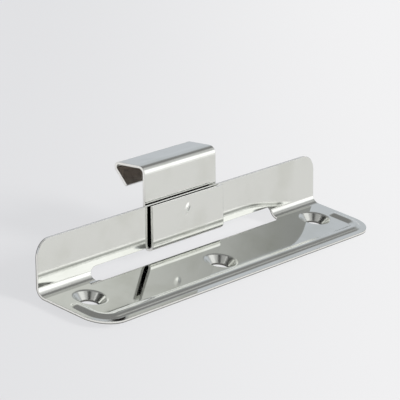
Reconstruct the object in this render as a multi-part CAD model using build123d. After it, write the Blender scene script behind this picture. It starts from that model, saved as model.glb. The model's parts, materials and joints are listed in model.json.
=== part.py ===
"""Mirror clip: a folded sheet bracket and a sliding hook clip.

The bracket is one sheet, folded once by 80 degrees, so the inside angle is
100 degrees. Its wide leaf, the flange, lies flat and carries three formed
countersunk screw holes and a raised bead that stiffens three of its edges.
The other leaf, the wall, stands at the back. A long slot runs along the
fold. The clip is a second sheet: it hangs in the slot, grips the wall from
both sides and ends above in a hook that opens to the back.

Units are millimetres. X runs along the bracket, +Y is behind the wall and
+Z is up. The origin is midway between the two outer screw holes, in the
plane of the holes' lower rims, which is the lowest plane of the bracket.
"""

import math
import os

from build123d import *

# Driving dimensions

SHEET = 0.6  # thickness of both sheets
LENGTH = 100.0  # length of the bracket
FLANGE_DEPTH = 19.5  # from the virtual inside corner to the front edge
WALL_HEIGHT = 12.1  # along the wall, from the virtual inside corner
LEAN = 10.0  # degrees the wall leans back from upright
BEND_RADIUS = 2.0  # inside radius of the fold
FLANGE_CORNER = 6.5  # radius of the two front corners
WALL_CORNER = 4.0  # radius of the two upper corners

SLOT_LENGTH = 66.4  # slot along the fold
SLOT_UP = 2.3  # reach of the slot up the wall
SLOT_OUT = 2.6  # reach of the slot out on the flange
SLOT_CORNER = 2.0  # corner radius of the slot

SCREW_SPACING = 82.2  # between the two outer holes
SCREW_SETBACK = 7.2  # outer holes to the virtual inside corner
MIDDLE_FORWARD = 3.45  # middle hole in front of the outer ones
HOLE_RADIUS = 2.2  # clearance for the screw shank
LIP_RADIUS = 4.1  # outer radius of the rolled lip
LIP_ROLL = 0.7  # rolling radius of the lip, on the top face

BEAD_INSET = 2.85  # centre line of the bead to the outer edges
BEAD_HALF = 1.75  # half the width of the bead
BEAD_HEIGHT = 0.55  # rise of the bead above the flange
BEAD_CREST = 1.9  # radius across the crest
BEAD_END_SETBACK = 8.9  # centre of the bead's round ends to the corner

CLIP_WIDTH = 25.6  # width of the clip along X
LEG_TOP = 12.0  # top of the front leg, along the wall
LEG_GAP = 0.6  # gap between leg and wall at the foot
LEG_NIP = 0.6  # degrees the leg leans in towards the wall
STRIP_GAP = 0.5  # gap between the wall's back and the strip
LOOP_CENTRE_UP = 2.8  # centre of the lower loop, along the wall
HOOK_TOP = 21.0  # upper face of the hook, along the wall
HOOK_REACH = 8.95  # strip's front face to the hook's far side
HOOK_FRONT_RADIUS = 1.2  # inside radius, strip to top
HOOK_FOLD_RADIUS = 0.6  # inside radius, top to lip
HOOK_FOLD = 130.0  # degrees turned between top and lip
LIP_LENGTH = 4.5  # straight part of the hook's lip

PIP_DEPTH = 0.3  # friction pip pressed in from the front
PIP_WIDTH = 2.0
PIP_LENGTH = 3.9
PIP_UP = 9.2  # middle of the pip, along the wall
PIP_SHIFT = -0.4  # middle of the pip from the clip's middle
PIP_SLANT = 50.0  # degrees from the X direction

# Values that follow from them

FOLD = 90.0 - LEAN
lean = math.radians(LEAN)
corner_y = SCREW_SETBACK
front_y = corner_y - FLANGE_DEPTH
middle_y = -MIDDLE_FORWARD
half_length = LENGTH / 2
tangent = BEND_RADIUS * math.tan(math.radians(FOLD / 2))

# Section plane across the wall: local x runs through the wall to the
# back, local y runs up along its front face.
section_of_wall = Plane(
    origin=(0, corner_y, 0),
    x_dir=(0, math.cos(lean), -math.sin(lean)),
    z_dir=(1, 0, 0),
)
# Face plane of the wall: local x along the bracket, local y up the wall.
face_of_wall = Plane(
    origin=(0, corner_y, 0),
    x_dir=(1, 0, 0),
    z_dir=(0, -math.cos(lean), math.sin(lean)),
)
# Section plane of the flange: local x is Y, local y is Z.
section_of_flange = Plane(origin=(0, 0, 0), x_dir=(0, 1, 0), z_dir=(1, 0, 0))


def thick_path(pieces, thickness):
    """Sheet section: a band laid evenly on both sides of a centre line."""
    line = Wire(pieces)
    return trace(line, line_width=thickness)


# Bracket: folded blank

mid_radius = BEND_RADIUS + SHEET / 2
foot = Vector(corner_y - tangent, -SHEET / 2)
blank_flange = Line((front_y, -SHEET / 2), foot)
blank_fold = JernArc(foot, (1, 0), mid_radius, FOLD)
wall_run = WALL_HEIGHT - tangent
blank_wall = PolarLine(blank_fold @ 1, wall_run, angle=FOLD)
blank = section_of_flange * thick_path(
    [blank_flange, blank_fold, blank_wall], SHEET
)
bracket = extrude(blank, amount=half_length, both=True)

# Round the two front corners of the flange and the two of the wall.
front_corners = [
    e
    for e in bracket.edges()
    if e.length < SHEET * 1.01
    and abs(e.center().Y - front_y) < 0.01
    and abs(abs(e.center().X) - half_length) < 0.01
]
bracket = fillet(front_corners, FLANGE_CORNER)
top_z = WALL_HEIGHT * math.cos(lean) - SHEET
upper_corners = [
    e
    for e in bracket.edges()
    if e.length < SHEET * 1.01
    and e.center().Z > top_z
    and abs(abs(e.center().X) - half_length) < 0.01
]
bracket = fillet(upper_corners, WALL_CORNER)

# Bracket: slot along the fold

below = 3 * SHEET
wall_cut = Rectangle(
    SLOT_LENGTH, SLOT_UP + below, align=(Align.CENTER, Align.MAX)
)
wall_cut = Pos(0, SLOT_UP) * wall_cut
wall_cut = fillet(wall_cut.vertices().group_by(Axis.Y)[-1], SLOT_CORNER)
wall_cut = extrude(
    face_of_wall * wall_cut, amount=BEND_RADIUS - 0.1
) + extrude(face_of_wall * wall_cut, amount=-3 * SHEET)
flange_cut = Rectangle(
    SLOT_LENGTH, SLOT_OUT + below, align=(Align.CENTER, Align.MIN)
)
flange_cut = Pos(0, corner_y - SLOT_OUT) * flange_cut
flange_cut = fillet(flange_cut.vertices().group_by(Axis.Y)[0], SLOT_CORNER)
step = SLOT_UP - SLOT_CORNER
flange_cut = extrude(flange_cut, amount=step) + extrude(
    flange_cut, amount=-3 * SHEET
)
bracket = bracket - wall_cut - flange_cut

# Bracket: raised bead along three edges

# The crest and the two hollow flanks are arcs that meet smoothly; the
# underside is the same curve set off by the sheet, so the bead is a
# pressed channel of even thickness.
bead_slope = 2 * math.atan(BEAD_HEIGHT / BEAD_HALF)
bead_sum = BEAD_HALF / math.sin(bead_slope)
bead_flank = bead_sum - BEAD_CREST


def bead_curve(offset):
    """Half of the bead's curve: crest arc and flank arc, offset down."""
    crest_r = BEAD_CREST - offset
    flank_r = bead_flank + offset
    crest_c = Vector(0, BEAD_HEIGHT - BEAD_CREST)
    flank_c = Vector(BEAD_HALF, bead_flank)
    peak = crest_c + Vector(0, crest_r)
    joint = crest_c + Vector(
        crest_r * math.sin(bead_slope), crest_r * math.cos(bead_slope)
    )
    base = flank_c - Vector(0, flank_r)
    half = bead_slope / 2
    crest_mid = crest_c + Vector(
        crest_r * math.sin(half), crest_r * math.cos(half)
    )
    flank_mid = flank_c - Vector(
        flank_r * math.sin(half), flank_r * math.cos(half)
    )
    return [
        ThreePointArc(peak, crest_mid, joint),
        ThreePointArc(joint, flank_mid, base),
    ]


upper = bead_curve(0.0)
lower = bead_curve(SHEET)
inner_end = Line(lower[0] @ 0, upper[0] @ 0)
outer_end = Line(upper[1] @ 1, lower[1] @ 1)
half_section = make_face([*upper, outer_end, *lower, inner_end])

bead_x = half_length - BEAD_INSET
bead_front = front_y + BEAD_INSET
bead_back = corner_y - BEAD_END_SETBACK
turn = FLANGE_CORNER - BEAD_INSET

at_left = Plane(
    origin=(-bead_x, bead_back, 0), x_dir=(-1, 0, 0), z_dir=(0, 1, 0)
)


def along_bead(section):
    """Carry a half section down one side, round the corner, to the middle."""
    run = bead_back - bead_front - turn
    side = extrude(section, amount=run, dir=(0, -1, 0))
    at_corner = Pos(0, -run, 0) * section
    axis = Axis((-bead_x + turn, bead_front + turn, 0), (0, 0, 1))
    corner = revolve(at_corner, axis=axis, revolution_arc=90)
    return side, corner, axis


section_out = at_left * half_section
section_in = Plane(
    origin=(-bead_x, bead_back, 0), x_dir=(1, 0, 0), z_dir=(0, -1, 0)
) * half_section


def bead_left(section):
    """One flank of the left half of the bead."""
    side, corner, axis = along_bead(section)
    run = bead_back - bead_front - turn
    at_front = (Pos(0, -run, 0) * section).rotate(axis, 90)
    front = extrude(at_front, amount=bead_x - turn, dir=(1, 0, 0))
    return side + corner + front


bead_axis = Axis((-bead_x, bead_back, 0), (0, 0, 1))
bead_end = revolve(section_out, axis=bead_axis, revolution_arc=-180)
bead_half = bead_left(section_out) + bead_left(section_in) + bead_end

# The flat band that the bead replaces.
plan = Rectangle(2 * BEAD_HALF, SHEET, align=(Align.CENTER, Align.MAX))
plan = at_left * plan
band_half = bead_left(plan)
band_half = band_half + Pos(-bead_x, bead_back, 0) * Cylinder(
    BEAD_HALF, SHEET, align=(Align.CENTER, Align.CENTER, Align.MAX)
)

bead = bead_half + mirror(bead_half, about=Plane.YZ)
band = band_half + mirror(band_half, about=Plane.YZ)
bracket = bracket - band + bead

# Bracket: three formed countersinks

# The sheet rolls over a lip into a 90 degree cone. The hole's edge is a
# short straight wall with a flat rim below.
roll_c = Vector(LIP_RADIUS, -LIP_ROLL)
half_turn = math.radians(22.5)
full_turn = math.radians(45.0)


def lip_point(radius, angle):
    """Point of the rolled lip, angle counted from its top."""
    return roll_c + Vector(-radius * math.sin(angle), radius * math.cos(angle))


inner_roll = LIP_ROLL - SHEET
cone_start = lip_point(LIP_ROLL, full_turn)
cone_under = lip_point(inner_roll, full_turn)
rim_upper = Vector(HOLE_RADIUS, cone_start.Y - (cone_start.X - HOLE_RADIUS))
rim_outer = rim_upper + Vector(
    SHEET * math.sin(full_turn), -SHEET * math.cos(full_turn)
)
rim_lower = Vector(HOLE_RADIUS, rim_outer.Y)
dimple = make_face(
    [
        ThreePointArc(
            lip_point(LIP_ROLL, 0), lip_point(LIP_ROLL, half_turn), cone_start
        ),
        Line(cone_start, rim_upper),
        Line(rim_upper, rim_lower),
        Line(rim_lower, rim_outer),
        Line(rim_outer, cone_under),
        ThreePointArc(
            cone_under,
            lip_point(inner_roll, half_turn),
            lip_point(inner_roll, 0),
        ),
        Line(lip_point(inner_roll, 0), lip_point(LIP_ROLL, 0)),
    ]
)
dimple = revolve(Plane.XZ * dimple, axis=Axis.Z, revolution_arc=360)
punch = Cylinder(
    LIP_RADIUS, SHEET, align=(Align.CENTER, Align.CENTER, Align.MAX)
)
screw_places = [
    (-SCREW_SPACING / 2, 0),
    (0, middle_y),
    (SCREW_SPACING / 2, 0),
]
for x, y in screw_places:
    bracket = bracket - Pos(x, y, 0) * punch + Pos(x, y, 0) * dimple

# Clip: leg, loop, strip, hook and lip

loop_inner = (LEG_GAP + SHEET + STRIP_GAP) / 2
loop_r = loop_inner + SHEET / 2
strip_mid = SHEET + STRIP_GAP + SHEET / 2
loop_c = Vector(strip_mid - loop_r, LOOP_CENTRE_UP)
nip = math.radians(LEG_NIP)

# The centre line starts at the leg's top and runs down, round the loop,
# up the strip, over the hook and down its lip.
leg_foot = loop_c + Vector(-loop_r * math.cos(nip), loop_r * math.sin(nip))
leg_run = (LEG_TOP - leg_foot.Y) / math.cos(nip)
leg_head = leg_foot + Vector(leg_run * math.sin(nip), leg_run * math.cos(nip))
leg = Line(leg_head, leg_foot)
loop = JernArc(
    leg_foot, (leg_foot - leg_head).normalized(), loop_r, 180 + LEG_NIP
)
front_r = HOOK_FRONT_RADIUS + SHEET / 2
fold_r = HOOK_FOLD_RADIUS + SHEET / 2
top_mid = HOOK_TOP - SHEET / 2
strip = Line(loop @ 1, (strip_mid, top_mid - front_r))
front_bend = JernArc(strip @ 1, (0, 1), front_r, -90)
far_side = SHEET + STRIP_GAP + HOOK_REACH - SHEET / 2
hook_top = Line(front_bend @ 1, (far_side - fold_r, top_mid))
fold_bend = JernArc(hook_top @ 1, (1, 0), fold_r, -HOOK_FOLD)
lip = PolarLine(fold_bend @ 1, LIP_LENGTH, angle=-HOOK_FOLD)
clip_section = section_of_wall * thick_path(
    [leg, loop, strip, front_bend, hook_top, fold_bend, lip], SHEET
)
clip = extrude(clip_section, amount=CLIP_WIDTH / 2, both=True)

# Clip: friction pip

# A short slanting groove is pressed into the leg's front, and the same
# curve set off by the sheet stands proud towards the wall.
pip_r = ((PIP_WIDTH / 2) ** 2 + PIP_DEPTH**2) / (2 * PIP_DEPTH)
pip_back_r = pip_r + SHEET
pip_run = PIP_LENGTH - PIP_WIDTH
leg_x_dir = (0, math.sin(lean + nip), math.cos(lean + nip))
leg_normal = (0, -math.cos(lean + nip), math.sin(lean + nip))
along_leg = (PIP_UP - leg_foot.Y) / math.cos(nip)
pip_mid = leg_foot + Vector(
    along_leg * math.sin(nip), along_leg * math.cos(nip)
)
pip_spot = section_of_wall.from_local_coords(Vector(pip_mid.X, pip_mid.Y, 0))
leg_plane = Plane(
    origin=(PIP_SHIFT, pip_spot.Y, pip_spot.Z),
    x_dir=(1, 0, 0),
    z_dir=leg_normal,
)


def capsule(radius):
    """Round bar with ball ends, lying along its plane's x direction."""
    reach = pip_run / 2
    outline = make_face(
        [
            Line((-reach - radius, 0), (reach + radius, 0)),
            RadiusArc((reach + radius, 0), (reach, radius), -radius),
            Line((reach, radius), (-reach, radius)),
            RadiusArc((-reach, radius), (-reach - radius, 0), -radius),
        ]
    )
    return revolve(outline, axis=Axis.X, revolution_arc=360)


stand_off = SHEET / 2 + pip_r - PIP_DEPTH
slanted = Pos(0, 0, stand_off) * Rot(0, 0, PIP_SLANT)
half_space = Box(
    3 * PIP_LENGTH,
    3 * PIP_LENGTH,
    3 * PIP_LENGTH,
    align=(Align.CENTER, Align.CENTER, Align.MAX),
)
proud = leg_plane * ((slanted * capsule(pip_back_r)) & half_space)
dent = leg_plane * (slanted * capsule(pip_r))
clip = clip + proud - dent

# Files, one for each piece

# So far Z = 0 is the top face of the flange. Both pieces are lifted until
# the rims of the screw holes stand on it.
lift = Pos(0, 0, -rim_lower.Y)
bracket = lift * bracket
clip = lift * clip

os.makedirs("parts", exist_ok=True)
export_step(bracket, "parts/base_bracket.step")
export_step(clip, "parts/hook_clip.step")
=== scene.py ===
"""Studio scene for a folded sheet mirror clip.

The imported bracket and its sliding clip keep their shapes. This script
dresses both in bright rolled stainless sheet and sets them on a pale
floor under soft studio light. Lengths are metres in the part's frame.
"""

import json
import logging
import math
from abc import ABC, abstractmethod
from dataclasses import dataclass
from enum import Enum
from typing import Any, Dict, Optional, Sequence, Tuple, Union

import bpy
from mathutils import Matrix, Vector


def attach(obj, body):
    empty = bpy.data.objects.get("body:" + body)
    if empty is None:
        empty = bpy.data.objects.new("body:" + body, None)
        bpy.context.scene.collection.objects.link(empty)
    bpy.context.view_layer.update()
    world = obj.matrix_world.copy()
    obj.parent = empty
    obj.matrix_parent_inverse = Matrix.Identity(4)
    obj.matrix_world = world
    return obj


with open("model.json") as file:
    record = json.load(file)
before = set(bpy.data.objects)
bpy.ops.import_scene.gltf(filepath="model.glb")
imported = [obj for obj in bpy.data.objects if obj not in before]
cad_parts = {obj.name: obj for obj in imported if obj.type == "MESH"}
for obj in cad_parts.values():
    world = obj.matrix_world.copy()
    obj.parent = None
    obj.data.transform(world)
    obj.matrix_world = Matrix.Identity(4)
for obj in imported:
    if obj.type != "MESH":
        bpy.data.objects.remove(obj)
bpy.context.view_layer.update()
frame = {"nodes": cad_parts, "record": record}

LOG = logging.getLogger("mirror_clip")
MM = 0.001

Triple = Tuple[float, float, float]
Colour = Triple
Span = Tuple[float, float]
Operand = Union["Sock", float, int]


class Op(Enum):
    """Math operations that expressions on sockets may use."""

    ADD = "ADD"
    SUBTRACT = "SUBTRACT"
    MULTIPLY = "MULTIPLY"
    POWER = "POWER"
    ABSOLUTE = "ABSOLUTE"
    MINIMUM = "MINIMUM"
    MAXIMUM = "MAXIMUM"


class Sock:
    """One output socket of a node tree, usable in Python expressions."""

    def __init__(self, tree: "Tree", socket: Optional[bpy.types.NodeSocket]) -> None:
        """Keeps the socket and its tree.

        Args:
            tree: The tree that the socket belongs to.
            socket: The output socket, or None for a node that has none.
        """
        self.tree = tree
        self.socket = socket

    def _math(
        self, op: Op, first: Operand, second: Optional[Operand] = None
    ) -> "Sock":
        """Adds one Math node.

        Args:
            op: The operation.
            first: The first operand.
            second: The second operand, if the operation has one.

        Returns:
            The node's result.
        """
        inputs = {0: first} if second is None else {0: first, 1: second}
        return self.tree.node("ShaderNodeMath", {"operation": op.value}, inputs)

    def __add__(self, other: Operand) -> "Sock":
        """Returns self + other."""
        return self._math(Op.ADD, self, other)

    def __radd__(self, other: Operand) -> "Sock":
        """Returns other + self."""
        return self._math(Op.ADD, other, self)

    def __sub__(self, other: Operand) -> "Sock":
        """Returns self - other."""
        return self._math(Op.SUBTRACT, self, other)

    def __rsub__(self, other: Operand) -> "Sock":
        """Returns other - self."""
        return self._math(Op.SUBTRACT, other, self)

    def __mul__(self, other: Operand) -> "Sock":
        """Returns self * other."""
        return self._math(Op.MULTIPLY, self, other)

    def __rmul__(self, other: Operand) -> "Sock":
        """Returns other * self."""
        return self._math(Op.MULTIPLY, other, self)

    def __pow__(self, other: Operand) -> "Sock":
        """Returns self raised to other."""
        return self._math(Op.POWER, self, other)

    def __abs__(self) -> "Sock":
        """Returns self without its sign."""
        return self._math(Op.ABSOLUTE, self)

    def least(self, other: Operand) -> "Sock":
        """Returns the smaller of self and other."""
        return self._math(Op.MINIMUM, self, other)

    def most(self, other: Operand) -> "Sock":
        """Returns the larger of self and other."""
        return self._math(Op.MAXIMUM, self, other)

    def ramp(self, low: float, high: float) -> "Sock":
        """Smooth step from 0 at low to 1 at high; low may be the larger.

        Args:
            low: The value that gives 0.
            high: The value that gives 1.

        Returns:
            The step's result.
        """
        settings = {"interpolation_type": "SMOOTHSTEP"}
        inputs = {0: self, 1: min(low, high), 2: max(low, high)}
        rising = self.tree.node("ShaderNodeMapRange", settings, inputs)
        return rising if low < high else 1 - rising

    def dot(self, direction: Union["Sock", Sequence[float]]) -> "Sock":
        """Returns the dot product with a direction, for a vector socket.

        Args:
            direction: Another socket, or a fixed direction, which is brought
                to length 1.

        Returns:
            The product.
        """
        other = direction
        if not isinstance(direction, Sock):
            other = tuple(Vector(direction).normalized())
        settings = {"operation": "DOT_PRODUCT"}
        inputs = {0: self, 1: other}
        return self.tree.node("ShaderNodeVectorMath", settings, inputs, "Value")


class Tree:
    """A node tree under construction."""

    def __init__(self, tree: bpy.types.NodeTree) -> None:
        """Empties the tree.

        Args:
            tree: The node tree of a material or of the world.
        """
        self.tree = tree
        self.tree.nodes.clear()

    def node(
        self,
        kind: str,
        settings: Dict[str, Any],
        inputs: Dict[Union[int, str], Any],
        output: Union[int, str] = 0,
    ) -> Sock:
        """Adds any node.

        Args:
            kind: The node's type name.
            settings: Its settings, set before the sockets.
            inputs: Values or links for its sockets, by index or name.
            output: The output wanted.

        Returns:
            The wanted output as a Sock.
        """
        made = self.tree.nodes.new(kind)
        for name, value in settings.items():
            setattr(made, name, value)
        for key, value in inputs.items():
            target = made.inputs[key]
            if isinstance(value, Sock):
                self.tree.links.new(value.socket, target)
            else:
                target.default_value = value
        return Sock(self, made.outputs[output] if made.outputs else None)

    def blend(self, factor: Operand, first: Any, second: Any) -> Sock:
        """Mixes two colours.

        Args:
            factor: 0 for the first colour, 1 for the second.
            first: A colour or a Sock.
            second: A colour or a Sock.

        Returns:
            The mixed colour.
        """
        settings = {"data_type": "RGBA"}
        inputs = {0: factor, 6: self._rgba(first), 7: self._rgba(second)}
        return self.node("ShaderNodeMix", settings, inputs, 2)

    @staticmethod
    def _rgba(value: Any) -> Any:
        """Adds alpha to a plain colour and leaves a Sock as it is."""
        return value if isinstance(value, Sock) else (*value, 1.0)

    def noise(self, vector: Sock, scale: float, detail: float) -> Sock:
        """Adds a Noise texture.

        Args:
            vector: Where the noise is read.
            scale: Its scale.
            detail: Its number of finer layers.

        Returns:
            The noise value, about 0.5 on average.
        """
        inputs = {"Vector": vector, "Scale": scale, "Detail": detail}
        return self.node("ShaderNodeTexNoise", {}, inputs, "Fac")

    def stretched(self, vector: Sock, scale: Sequence[float]) -> Sock:
        """Scales a vector along its axes.

        Args:
            vector: The vector.
            scale: One factor for each axis.

        Returns:
            The scaled vector.
        """
        settings = {"operation": "MULTIPLY"}
        return self.node("ShaderNodeVectorMath", settings, {0: vector, 1: scale})


def new_material(name: str) -> Tuple[bpy.types.Material, Tree]:
    """Starts a material.

    Args:
        name: Name of the material.

    Returns:
        The material and its empty tree.
    """
    material = bpy.data.materials.new(name)
    material.use_nodes = True
    return material, Tree(material.node_tree)


def add_object(name: str, data: Any) -> bpy.types.Object:
    """Adds an object to the scene.

    Args:
        name: Name of the object.
        data: Its mesh, lamp or camera.

    Returns:
        The object.
    """
    made = bpy.data.objects.new(name, data)
    bpy.context.scene.collection.objects.link(made)
    return made


def towards(turn: float, rise: float) -> Vector:
    """Gives a direction from two angles.

    Args:
        turn: Degrees from +X in plan.
        rise: Degrees above the horizon.

    Returns:
        The direction, with length 1.
    """
    turn, rise = math.radians(turn), math.radians(rise)
    flat = math.cos(rise)
    return Vector((flat * math.cos(turn), flat * math.sin(turn), math.sin(rise)))


def mount_height(name: str) -> float:
    """Gives the height of one of the part's mounts.

    Args:
        name: Name of the mount.

    Returns:
        Its height in metres.
    """
    places = {mount["name"]: mount["pos_m"] for mount in frame["record"]["mounts"]}
    return places[name][2]


@dataclass(frozen=True)
class WallFrame:
    """Where the bracket's fold and wall lie, in metres.

    Attributes:
        sheet: Thickness of the sheet.
        underside: Height of the flange's underside.
        corner: Depth at which the inside faces would meet.
        radius: Inside radius of the fold.
        lean: Degrees that the wall leans back.
    """

    sheet: float = 0.6 * MM
    underside: float = mount_height("flange_underside")
    corner: float = 7.2 * MM
    radius: float = 2.0 * MM
    lean: float = 10.0

    @property
    def front(self) -> Vector:
        """Direction out of the wall's front face."""
        lean = math.radians(self.lean)
        return Vector((0.0, -math.cos(lean), math.sin(lean)))

    @property
    def up(self) -> Vector:
        """Direction up the wall."""
        lean = math.radians(self.lean)
        return Vector((0.0, math.sin(lean), math.cos(lean)))

    @property
    def foot(self) -> Vector:
        """Point where the inside faces would meet."""
        return Vector((0.0, self.corner, self.underside + self.sheet))

    @property
    def centre(self) -> Vector:
        """Centre of the fold."""
        reach = self.radius * math.tan(math.radians(90.0 - self.lean) / 2)
        return self.foot + Vector((0.0, -reach, self.radius))


@dataclass(frozen=True)
class SheetEdges(ABC):
    """Tells a piece's cut edges from its faces.

    A span is a pair of values between which a mask passes from 0 to 1. Where
    nothing else is said, they are cosines of the angle between the surface's
    normal and the direction that is named.

    Attributes:
        fold: Where fold and wall lie.
        flat_span: To a flat face's direction.
        side_span: To the X direction, on the cuts at both sides.
    """

    fold: WallFrame = WallFrame()
    flat_span: Span = (0.985, 0.998)
    side_span: Span = (0.8, 0.95)

    @abstractmethod
    def masks(self, place: Sock, normal: Sock) -> Tuple[Sock, Sock]:
        """Finds the cut edges.

        Args:
            place: Where the surface is.
            normal: Which way it faces.

        Returns:
            1 on a cut edge, and 1 in the part of it that broke, which is painted dark
            as shade.
        """

    @abstractmethod
    def flats(self) -> Tuple[Vector, ...]:
        """Gives the directions that the piece's flat faces look in."""

    def bent(self, normal: Sock) -> Sock:
        """Finds what isn't flat: bends, beads and formed holes.

        Args:
            normal: Which way the surface faces.

        Returns:
            1 where the sheet is bent.
        """
        bent: Operand = 1
        for direction in self.flats():
            bent = (1 - abs(normal.dot(direction)).ramp(*self.flat_span)) * bent
        return bent

    def side_cut(self, normal: Sock) -> Sock:
        """Returns 1 on the cuts at both sides."""
        return abs(normal.dot((1.0, 0.0, 0.0))).ramp(*self.side_span)

    def above(self, place: Sock) -> Sock:
        """Returns how far up the wall a place is, from the fold's foot."""
        return place.dot(self.fold.up) - self.fold.foot.dot(self.fold.up)

    def behind(self, place: Sock) -> Sock:
        """Returns how far behind the wall's front face a place is."""
        return self.fold.foot.dot(self.fold.front) - place.dot(self.fold.front)

    def sprung(self, place: Sock) -> Optional[Sock]:
        """Gives the sheet's slight spring beside a bend.

        Args:
            place: Where the surface is.

        Returns:
            How far the sheet stands out, in metres, or None.
        """
        return None

    def inside_shade_mask(self, place: Sock, normal: Sock) -> Optional[Sock]:
        """Finds the inner faces whose colour gets painted shade.

        Args:
            place: Where the surface is.
            normal: Which way it faces.

        Returns:
            1 where shade is painted, or None.
        """
        return None


@dataclass(frozen=True)
class BracketEdges(SheetEdges):
    """Cut edges of the bracket: its outline, its slot and its holes.

    Attributes:
        face_span: To the direction of the sheet's own face.
        soft: Length over which the fold's region begins.
        broken_and_shaded_span: Depth in the sheet, as a share, at which a cut broke
            off and is painted dark as the shade under the edge.
    """

    face_span: Span = (0.25, 0.5)
    soft: float = 0.1 * MM
    # Lower part of a cut edge, which broke off and is painted dark as its shade.
    broken_and_shaded_span: Span = (0.55, 0.8)

    def flats(self) -> Tuple[Vector, ...]:
        """Gives the flange's direction and the wall's."""
        return Vector((0.0, 0.0, 1.0)), self.fold.front

    def masks(self, place: Sock, normal: Sock) -> Tuple[Sock, Sock]:
        """Finds the cut edges; the lower third of the sheet broke off, and its colour
        is painted dark as the shade under the edge.

        Args:
            place: Where the surface is.
            normal: Which way it faces.

        Returns:
            1 on a cut edge, and 1 in the part of it that broke, which is painted dark
            as shade.
        """
        fold, centre = self.fold, self.fold.centre
        back = place.dot((0.0, 1.0, 0.0))
        high = place.dot((0.0, 0.0, 1.0))
        flat = 1 - back.ramp(centre.y - self.soft, centre.y)
        over = place.dot(fold.up) - centre.dot(fold.up)
        steep = over.ramp(-self.soft, 0.0)
        level_face = abs(normal.dot((0.0, 0.0, 1.0))).ramp(*self.face_span)
        wall_face = abs(normal.dot(fold.front)).ramp(*self.face_span)
        level_cut = flat * (1 - level_face)
        wall_cut = steep * (1 - wall_face)
        below = fold.foot.z - high
        away = ((back - centre.y) ** 2.0 + (high - centre.z) ** 2.0) ** 0.5
        around = away - fold.radius
        leaning = self.behind(place) - around
        depth = around + flat * (below - around) + steep * leaning
        cut = level_cut.most(wall_cut).most(self.side_cut(normal))
        # Painted shade: the lower part of the cut edge is marked to be coloured dark.
        shallow, deep = (share * fold.sheet for share in self.broken_and_shaded_span)
        return cut, cut * depth.ramp(shallow, deep)


@dataclass(frozen=True)
class ClipEdges(SheetEdges):
    """Cut edges of the clip: its two sides, the leg's top and the lip's end.

    Attributes:
        leg_top: Top of the leg, up the wall.
        clear: Length over the leg's top in which nothing is cut.
        lip_turn: Degrees that the sheet turns between the hook's top and lip.
        leg_span: To the direction up the wall, on the leg's top.
        lip_span: To the lip's own direction, on its end.
        spring_from: Where the strip begins to spring, up the wall.
        spring_reach: Length over which it springs.
        spring: Slope that it reaches.
        strip_span: Distances behind the wall's face at which the strip ends.
        inside_shade_from: Where the painted shade inside the hook begins, up the wall.
        inside_shade_behind: How far behind the wall's face the painted shade on the
            lip begins.
        lip_face_span: To the direction that the lip's inner face looks in.
        under_span: To the direction down the wall, below the hook's top.
        strip_back_span: To the direction behind the wall, on the strip.
    """

    leg_top: float = 12.0 * MM
    clear: float = 1.0 * MM
    lip_turn: float = -130.0
    leg_span: Span = (0.7, 0.9)
    lip_span: Span = (0.8, 0.95)
    spring_from: float = 16.4 * MM
    spring_reach: float = 2.8 * MM
    spring: float = 0.1
    strip_span: Span = (2.5 * MM, 4.0 * MM)
    # Where the painted shade inside the hook begins.
    inside_shade_from: float = 15.5 * MM
    inside_shade_behind: float = 4.5 * MM
    lip_face_span: Span = (0.6, 0.9)
    under_span: Span = (0.3, 0.6)
    strip_back_span: Span = (0.8, 0.95)

    def flats(self) -> Tuple[Vector, ...]:
        """Gives the directions of leg and strip, and of the hook's top."""
        return self.fold.front, self.fold.up

    def masks(self, place: Sock, normal: Sock) -> Tuple[Sock, Sock]:
        """Finds the cut edges; their broken part is not seen.

        Args:
            place: Where the surface is.
            normal: Which way it faces.

        Returns:
            1 on a cut edge, and 0 everywhere for the part that broke.
        """
        fold = self.fold
        turn = math.radians(self.lip_turn)
        lip = -fold.front * math.cos(turn) + fold.up * math.sin(turn)
        over = self.above(place) - self.leg_top
        on_leg = 1 - over.ramp(self.clear, 2 * self.clear)
        leg_cut = on_leg * normal.dot(fold.up).ramp(*self.leg_span)
        lip_cut = (1 - on_leg) * normal.dot(lip).ramp(*self.lip_span)
        cut = self.side_cut(normal).most(leg_cut).most(lip_cut)
        return cut, 0 * cut

    def sprung(self, place: Sock) -> Sock:
        """Gives the strip's spring below the hook.

        Args:
            place: Where the surface is.

        Returns:
            How far the strip stands out, in metres.
        """
        over = self.above(place) - self.spring_from
        rise = over.most(0.0).least(self.spring_reach)
        on_strip = 1 - self.behind(place).ramp(*self.strip_span)
        return on_strip * rise * rise * (-self.spring / (2 * self.spring_reach))

    # Painted shade: marks the inside of the hook, which is coloured darker.
    def inside_shade_mask(self, place: Sock, normal: Sock) -> Sock:
        """Finds the inside of the hook, below its top and before its lip, whose colour
        gets painted shade.

        Args:
            place: Where the surface is.
            normal: Which way it faces.

        Returns:
            1 inside the hook.
        """
        fold = self.fold
        turn = math.radians(self.lip_turn)
        before_lip = -fold.front * math.sin(turn) - fold.up * math.cos(turn)
        deep = (self.behind(place) - self.inside_shade_behind).ramp(0.0, MM)
        lip_face = deep * normal.dot(before_lip).ramp(*self.lip_face_span)
        under_top = normal.dot(-fold.up).ramp(*self.under_span)
        to_wall = normal.dot(-fold.front).ramp(*self.strip_back_span)
        hook = (self.above(place) - self.inside_shade_from).ramp(0.0, 2 * MM)
        return hook * lip_face.most(under_top).most((1 - deep) * to_wall)


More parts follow.
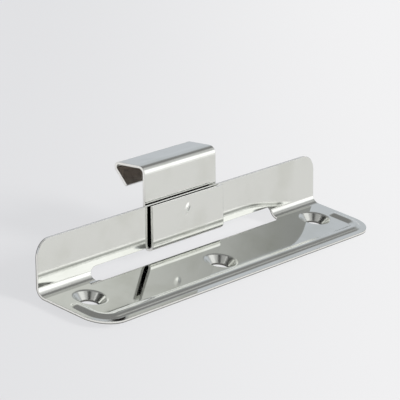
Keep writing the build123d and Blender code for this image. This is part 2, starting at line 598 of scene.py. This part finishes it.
@dataclass(frozen=True)
class RolledStainless:
    """Bright rolled stainless sheet with sheared edges.

    Attributes:
        name: Name of the material.
        edges: Finds the piece's cut edges.
        colour: Reflectance of the clean sheet.
        stain: Reflectance in the faint cloudy patches.
        sheared: Reflectance of the smooth part of a cut edge.
        broken_and_edge_shade: Reflectance of its broken part, painted dark as the
            shade under the edge; also the colour of the painted dark edge line.
        roughness: Roughness of the clean sheet.
        cloud: Spread of the roughness between patches.
        cut_roughness: Roughness of a cut edge.
        bend_roughness: Roughness that bending the sheet adds.
        grain: Height of the rolling lines, in metres.
        grain_roughness: Roughness that the rolling lines add or take.
        grain_scale: How fine they are along each axis.
        wave: Height of the slow unevenness of the sheet, in metres.
        wave_scale: How fine it is along each axis.
        cloud_scale: How fine the cloudy patches are.
        stain_span: Values of the patches over which the stain sets in.
        cloud_span: Values of the patches over which the roughness rises.
        edge: Radius over which edges look rounded, in metres.
        edge_samples: Number of samples of that rounding.
        edge_shade: Share of the painted dark line along sharp edges, which stands for
            their shade and dark reflection.
        edge_shade_span: Cosines of the rounding over which that painted line fades.
        satin: Share of an upward cut edge that scatters light.
        upward_span: Cosines to the upright over which an edge counts so.
        painted_inside_shade: Darker brownish reflectance painted inside the hook as
            its shade.
    """

    name: str
    edges: SheetEdges
    colour: Colour = (0.70, 0.71, 0.68)
    stain: Colour = (0.64, 0.65, 0.61)
    sheared: Colour = (0.80, 0.80, 0.78)
    # Broken part of a cut edge, painted dark as the shade under it; also the painted
    # dark edge line.
    broken_and_edge_shade: Colour = (0.20, 0.20, 0.19)
    roughness: float = 0.04
    cloud: float = 0.04
    cut_roughness: float = 0.2
    bend_roughness: float = 0.13
    grain: float = 0.00008 * MM
    grain_roughness: float = 0.02
    grain_scale: Triple = (120.0, 9000.0, 9000.0)
    wave: float = 0.001 * MM
    wave_scale: Triple = (60.0, 220.0, 220.0)
    cloud_scale: float = 90.0
    stain_span: Span = (0.45, 0.75)
    cloud_span: Span = (0.35, 0.75)
    edge: float = 0.12 * MM
    edge_samples: int = 4
    # Painted dark line along sharp edges, for their shade and dark reflection.
    edge_shade: float = 0.9
    edge_shade_span: Span = (0.85, 0.99)
    satin: float = 0.7
    upward_span: Span = (0.5, 0.8)
    # Painted shade inside the hook, a darker brownish tone.
    painted_inside_shade: Colour = (0.45, 0.41, 0.385)

    def build(self) -> bpy.types.Material:
        """Makes the material.

        Returns:
            The finished material.
        """
        material, tree = new_material(self.name)
        place = tree.node("ShaderNodeTexCoord", {}, {}, "Object")
        facing = tree.node("ShaderNodeTexCoord", {}, {}, "Normal")
        cut, broken_and_shaded = self.edges.masks(place, facing)
        clouds = tree.noise(place, self.cloud_scale, 3.0)
        lines = tree.noise(tree.stretched(place, self.grain_scale), 1.0, 2.0)
        bevel = {"samples": self.edge_samples}
        rounded = tree.node("ShaderNodeBevel", bevel, {"Radius": self.edge})
        # Painted shade: a dark line where the rounded edge turns away from the face,
        # for the edges' shade and dark reflection.
        edge_shade_mask = 1 - rounded.dot(facing).ramp(*self.edge_shade_span)
        upward = facing.dot((0.0, 0.0, 1.0)).ramp(*self.upward_span)
        # The broken lower part of a cut edge is duller and painted dark as the shade
        # under the edge.
        edge = tree.blend(broken_and_shaded, self.sheared, self.broken_and_edge_shade)
        colour = tree.blend(cut, self._sheet(tree, place, facing, clouds), edge)
        smooth = (
            self.roughness
            + self.cloud * clouds.ramp(*self.cloud_span)
            + self.grain_roughness * (lines - 0.5)
            + self.bend_roughness * self.edges.bent(facing)
        )
        inputs = {
            # The painted dark edge line is blended into the base colour.
            "Base Color": tree.blend(edge_shade_mask * self.edge_shade, colour, self.broken_and_edge_shade),
            "Metallic": 1 - cut * upward * self.satin,
            "Roughness": smooth + cut * (self.cut_roughness - smooth),
            "Normal": self._normal(tree, place, rounded, lines),
        }
        shader = tree.node("ShaderNodeBsdfPrincipled", {}, inputs)
        tree.node("ShaderNodeOutputMaterial", {}, {"Surface": shader})
        return material

    def _sheet(self, tree: Tree, place: Sock, facing: Sock, clouds: Sock) -> Sock:
        """Colours the sheet's faces.

        Args:
            tree: The material's tree.
            place: Where the surface is.
            facing: Which way it faces.
            clouds: The cloudy patches.

        Returns:
            The colour, with the stain and the painted shade inside the hook.
        """
        sheet = tree.blend(clouds.ramp(*self.stain_span), self.colour, self.stain)
        # Painted shade: the inside of the hook is coloured darker.
        inside_shade_mask = self.edges.inside_shade_mask(place, facing)
        return sheet if inside_shade_mask is None else tree.blend(inside_shade_mask, sheet, self.painted_inside_shade)

    def _normal(self, tree: Tree, place: Sock, rounded: Sock, lines: Sock) -> Sock:
        """Shapes the sheet's surface finely.

        Args:
            tree: The material's tree.
            place: Where the surface is.
            rounded: The normal with rounded edges.
            lines: The rolling lines.

        Returns:
            The normal with spring, unevenness and rolling lines.
        """
        sprung = self.edges.sprung(place)
        if sprung is not None:
            rounded = self._bump(tree, sprung, 1.0, rounded)
        slow = tree.noise(tree.stretched(place, self.wave_scale), 1.0, 1.0)
        waved = self._bump(tree, slow, self.wave, rounded)
        return self._bump(tree, lines, self.grain, waved)

    @staticmethod
    def _bump(tree: Tree, height: Sock, distance: float, normal: Sock) -> Sock:
        """Adds a Bump node.

        Args:
            tree: The material's tree.
            height: The height, from 0 to 1.
            distance: What a height of 1 stands for, in metres.
            normal: The normal that the bump starts from.

        Returns:
            The bumped normal.
        """
        inputs = {"Height": height, "Distance": distance, "Normal": normal}
        return tree.node("ShaderNodeBump", {}, inputs)


@dataclass(frozen=True)
class PaleFloor:
    """Matt pale floor, which the camera sees mostly as a painted glow brightening from
    left to right.

    Attributes:
        name: Name of the material.
        left_glow: Painted glow tone seen at the picture's left.
        right: Painted glow tone seen at its right, brighter than the left.
        albedo: Colour that the lamps light, also as metal shows it.
        keep: Share of the real light and shadow that the camera sees.
        glow_across: Direction from the left glow to the right one.
        reach: Distance on each side of the middle at which they are full.
    """

    name: str = "pale_floor"
    # Painted light: glow tones that the camera sees, brighter to the right.
    left_glow: Colour = (0.73, 0.735, 0.755)
    right: Colour = (0.89, 0.89, 0.90)
    albedo: Colour = (0.92, 0.91, 0.90)
    keep: float = 0.14
    glow_across: Triple = (0.63, -0.77, 0.0)
    reach: float = 70.0 * MM

    def build(self) -> bpy.types.Material:
        """Makes the material.

        Returns:
            The finished material.
        """
        material, tree = new_material(self.name)
        place = tree.node("ShaderNodeTexCoord", {}, {}, "Object")
        glow_across = place.dot(self.glow_across).ramp(-self.reach, self.reach)
        seen = tree.blend(glow_across, self.left_glow, self.right)
        lit = tree.node("ShaderNodeBsdfDiffuse", {}, {"Color": (*self.albedo, 1.0)})
        # Painted light: the camera sees the floor mostly as this glow, brighter from
        # left to right.
        painted_glow = tree.node("ShaderNodeEmission", {}, {"Color": seen})
        shown = tree.node("ShaderNodeMixShader", {}, {0: self.keep, 1: painted_glow, 2: lit})
        camera = tree.node("ShaderNodeLightPath", {}, {}, "Is Camera Ray")
        shader = tree.node("ShaderNodeMixShader", {}, {0: camera, 1: lit, 2: shown})
        tree.node("ShaderNodeOutputMaterial", {}, {"Surface": shader})
        return material


@dataclass(frozen=True)
class SoftBox:
    """One soft bright area of the studio's surroundings.

    Attributes:
        turn: Direction of its middle in plan, in degrees from +X.
        rise: Height of its middle above the horizon, in degrees.
        full: Degrees from the middle up to which it is at full level.
        gone: Degrees from the middle at which it has faded.
        level: Its light.
    """

    turn: float
    rise: float
    full: float
    gone: float
    level: float

    def light(self, ray: Sock) -> Sock:
        """Gives the box's light along a ray.

        Args:
            ray: Direction of the ray.

        Returns:
            The light from that direction.
        """
        middle = towards(self.turn, self.rise)
        outer, inner = (math.cos(math.radians(a)) for a in (self.gone, self.full))
        return ray.dot(middle).ramp(outer, inner) * self.level


@dataclass(frozen=True)
class StudioAir:
    """Surroundings of the studio, as light by direction.

    Attributes:
        front: Light from the front and the left at eye level.
        back: Light from the back and the right at eye level.
        top: Light from above.
        cool: Tint of the light from the back.
        seen: What the camera sees of it.
        high_span: Sines of the height over which the light from above begins.
        away: Direction towards the back and the right.
        back_span: Cosines to it over which the light from the back begins.
        cool_span: Cosines to it over which its tint begins.
        boxes: Soft boxes.
        flags: Dark screens; their level is the share that they take.
    """

    front: float = 0.93
    back: float = 0.68
    top: float = 0.27
    cool: Colour = (0.955, 1.0, 1.07)
    seen: Colour = (0.80, 0.80, 0.82)
    high_span: Span = (0.42, 0.60)
    away: Triple = (0.55, 0.83, 0.0)
    back_span: Span = (-0.6, -0.2)
    cool_span: Span = (-0.1, 0.4)
    boxes: Tuple[SoftBox, ...] = (
        SoftBox(-48.0, 18.0, 15.0, 25.0, 1.6),
        SoftBox(-50.0, 40.0, 15.0, 26.0, 1.05),
        SoftBox(-100.0, 43.0, 7.0, 14.0, 1.8),
        SoftBox(155.0, 52.0, 4.0, 14.0, 1.05),
        SoftBox(-85.0, 58.0, 8.0, 22.0, 0.62),
        SoftBox(-16.0, 42.0, 5.0, 13.0, 0.7),
        SoftBox(175.0, 65.0, 8.0, 22.0, 0.48),
    )
    flags: Tuple[SoftBox, ...] = (
        SoftBox(-120.0, 60.0, 7.0, 14.0, 0.85),
        SoftBox(138.0, 52.0, 5.0, 9.0, 0.95),
    )

    def build(self) -> None:
        """Makes the world and gives it to the scene."""
        world = bpy.data.worlds.new("studio_air")
        world.use_nodes = True
        tree = Tree(world.node_tree)
        ray = tree.node("ShaderNodeTexCoord", {}, {}, "Generated")
        low = 1 - ray.dot((0.0, 0.0, 1.0)).ramp(*self.high_span)
        away = ray.dot(self.away)
        level = self.front + (self.back - self.front) * away.ramp(*self.back_span)
        level = self.top + (level - self.top) * low
        for box in self.boxes:
            level = level.most(box.light(ray))
        for flag in self.flags:
            level = level * (1 - flag.light(ray))
        chill = away.ramp(*self.cool_span) * low
        tint = tree.blend(chill, (1.0, 1.0, 1.0), self.cool)
        inputs = {"Color": tint, "Strength": level}
        light = tree.node("ShaderNodeBackground", {}, inputs)
        shown = tree.node("ShaderNodeBackground", {}, {"Color": (*self.seen, 1.0)})
        camera = tree.node("ShaderNodeLightPath", {}, {}, "Is Camera Ray")
        shader = tree.node("ShaderNodeMixShader", {}, {0: camera, 1: light, 2: shown})
        tree.node("ShaderNodeOutputWorld", {}, {"Surface": shader})
        bpy.context.scene.world = world


@dataclass
class SheetPiece:
    """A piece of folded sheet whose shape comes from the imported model.

    Attributes:
        node: Name of its node.
        finish: Its finish.
    """

    node: str
    finish: RolledStainless

    def dress(self) -> bpy.types.Object:
        """Gives the node its finish.

        Returns:
            The node's object.
        """
        piece = frame["nodes"][self.node]
        material = self.finish.build()
        if not piece.material_slots:
            piece.data.materials.append(material)
        for place in piece.material_slots:
            place.material = material
        return piece


@dataclass
class LegPip:
    """Soft pip that stands proud of the leg's front, over the groove there.

    Attributes:
        fold: The fold and the wall, from which the leg's place is taken.
        body: Name of the body that it rides on.
        nip: Degrees that the leg leans in towards the wall.
        ahead: Leg's front face at the pip, in front of the wall's face.
        up: Height of its middle along the wall.
        shift: Its middle from the clip's middle.
        slant: Degrees between its length and the X direction.
        half_length: Half the length of its skirt, which covers the groove.
        half_width: Half the skirt's width.
        swell: Size of the proud part, as a share of the skirt.
        height: How far it stands proud.
        skirt: Height of the skirt; its rim lies as far below the face.
        fade: Where the skirt starts to sink, as a share of its size.
        seat: How deep its flat back lies in the sheet.
        rings: Number of rings of its mesh.
        spokes: Number of points in a ring.
    """

    fold: WallFrame = WallFrame()
    body: str = "clip"
    nip: float = 0.6
    ahead: float = 1.133 * MM
    up: float = 9.203 * MM
    shift: float = -0.4 * MM
    slant: float = 50.0
    half_length: float = 2.2 * MM
    half_width: float = 1.3 * MM
    swell: float = 0.76
    height: float = 0.13 * MM
    skirt: float = 0.003 * MM
    fade: float = 0.85
    seat: float = 0.1 * MM
    rings: int = 20
    spokes: int = 48

    def _height(self, share: float) -> float:
        """Gives the pip's height.

        Args:
            share: Distance from its middle, as a share of its size.

        Returns:
            The height over the leg's front face.
        """
        proud = self.height * max(1 - (share / self.swell) ** 2, 0.0) ** 2
        sunk = max(share - self.fade, 0.0) / (1 - self.fade)
        return proud + self.skirt * (1 - 2 * sunk)

    def _corner(self, share: float, step: int, height: float) -> Vector:
        """Places one corner of the mesh.

        Args:
            share: Distance from the pip's middle, as a share of its size.
            step: Number of the spoke.
            height: Height over the leg's front face.

        Returns:
            The corner.
        """
        steep = math.radians(self.fold.lean + self.nip)
        leg_front = Vector((0.0, -math.cos(steep), math.sin(steep)))
        leg_up = Vector((0.0, math.sin(steep), math.cos(steep)))
        slant = math.radians(self.slant)
        turn = 2 * math.pi * step / self.spokes
        along = share * self.half_length * math.cos(turn)
        beside = share * self.half_width * math.sin(turn)
        right = along * math.cos(slant) - beside * math.sin(slant)
        above = along * math.sin(slant) + beside * math.cos(slant)
        middle = self.fold.foot + self.fold.front * self.ahead + self.fold.up * self.up
        middle.x += self.shift
        return middle + Vector((right, 0.0, 0.0)) + leg_up * above + leg_front * height

    def build(self, material: bpy.types.Material) -> bpy.types.Object:
        """Builds the pip and lets it ride on the clip.

        Args:
            material: The clip's finish.

        Returns:
            The pip.
        """
        steps = range(self.spokes)
        shares = [ring / self.rings for ring in range(1, self.rings + 1)]
        levels = [(share, self._height(share)) for share in shares]
        levels.append((1.0, -self.seat))
        corners = [
            self._corner(share, step, height)
            for share, height in levels
            for step in steps
        ]
        faces = [tuple(steps)]
        for first in range(0, self.rings * self.spokes, self.spokes):
            second = first + self.spokes
            for step in steps:
                beside = (step + 1) % self.spokes
                near, far = first + beside, second + beside
                faces.append((first + step, second + step, far, near))
        last = self.rings * self.spokes
        faces.append(tuple(reversed(range(last, last + self.spokes))))
        mesh = bpy.data.meshes.new("leg_pip")
        mesh.from_pydata(corners, [], faces)
        for face in mesh.polygons[: 1 + (self.rings - 1) * self.spokes]:
            face.use_smooth = True
        mesh.materials.append(material)
        pip = add_object("leg_pip", mesh)
        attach(pip, self.body)
        return pip


@dataclass
class Studio:
    """Floor, surroundings, lamp and camera.

    Attributes:
        floor_side: Side length of the floor.
        key_turn: Direction of the key lamp in plan, in degrees from +X.
        key_rise: Its height above the horizon, in degrees.
        key_spread: Its size, in degrees.
        key_level: Its strength.
        focal: Focal length of the camera over the picture's width.
        sensor: Width of its sensor, in millimetres.
        near: Nearest distance that it sees.
        far: Farthest distance that it sees.
        eye: Where the camera stands.
        right: Direction across the picture.
        down: Direction down the picture.
    """

    floor_side: float = 6.0
    key_turn: float = -65.0
    key_rise: float = 30.0
    key_spread: float = 20.0
    key_level: float = 2.8
    focal: float = 2349.0859 / 400.0
    sensor: float = 36.0
    near: float = 0.01
    far: float = 20.0
    eye: Triple = (-0.4044541, -0.2948116, 0.2060573)
    right: Triple = (0.6285984, -0.7672595, 0.1271885)
    down: Triple = (-0.2026388, -0.3194668, -0.9256773)

    def floor(self) -> bpy.types.Object:
        """Lays the floor under the part.

        Returns:
            The floor.
        """
        half = self.floor_side / 2
        ends = ((-1, -1), (1, -1), (1, 1), (-1, 1))
        corners = [(half * x, half * y, 0.0) for x, y in ends]
        mesh = bpy.data.meshes.new("floor")
        mesh.from_pydata(corners, [], [(0, 1, 2, 3)])
        mesh.materials.append(PaleFloor().build())
        floor = add_object("floor", mesh)
        return floor

    def lamp(self) -> bpy.types.Object:
        """Hangs the soft key lamp, which lights the floor from the front.

        Returns:
            The lamp.
        """
        data = bpy.data.lights.new("key", "SUN")
        data.energy = self.key_level
        data.angle = math.radians(self.key_spread)
        lamp = add_object("key", data)
        place = towards(self.key_turn, self.key_rise)
        lamp.rotation_euler = place.to_track_quat("Z", "Y").to_euler()
        lamp.visible_glossy = False
        return lamp

    def camera(self) -> bpy.types.Object:
        """Sets up the camera at the photograph's angle.

        Returns:
            The camera.
        """
        data = bpy.data.cameras.new("camera")
        data.sensor_width = self.sensor
        data.lens = self.focal * self.sensor
        data.clip_start = self.near
        data.clip_end = self.far
        camera = add_object("camera", data)
        right, up = Vector(self.right), -Vector(self.down)
        turn = Matrix((right, up, right.cross(up))).transposed()
        camera.matrix_world = Matrix.Translation(self.eye) @ turn.to_4x4()
        bpy.context.scene.camera = camera
        return camera


def main() -> None:
    """Builds the whole scene."""
    logging.basicConfig(level=logging.INFO, format="%(name)s: %(message)s")
    bpy.context.scene.view_settings.view_transform = "Standard"
    pieces = [
        SheetPiece("base_bracket", RolledStainless("bracket_sheet", BracketEdges())),
        SheetPiece("hook_clip", RolledStainless("clip_sheet", ClipEdges())),
    ]
    for piece in pieces:
        made = piece.dress()
        LOG.info("%s dressed, %d corners", made.name, len(made.data.vertices))
    pip_sheet = RolledStainless("pip_sheet", ClipEdges(), edge=0.01 * MM)
    pip = LegPip().build(pip_sheet.build())
    LOG.info("%s built, %d corners", pip.name, len(pip.data.vertices))
    studio = Studio()
    StudioAir().build()
    LOG.info("floor %s, lamp %s", studio.floor().name, studio.lamp().name)
    LOG.info("camera lens %.1f", studio.camera().data.lens)


if __name__ == "__main__":
    main()
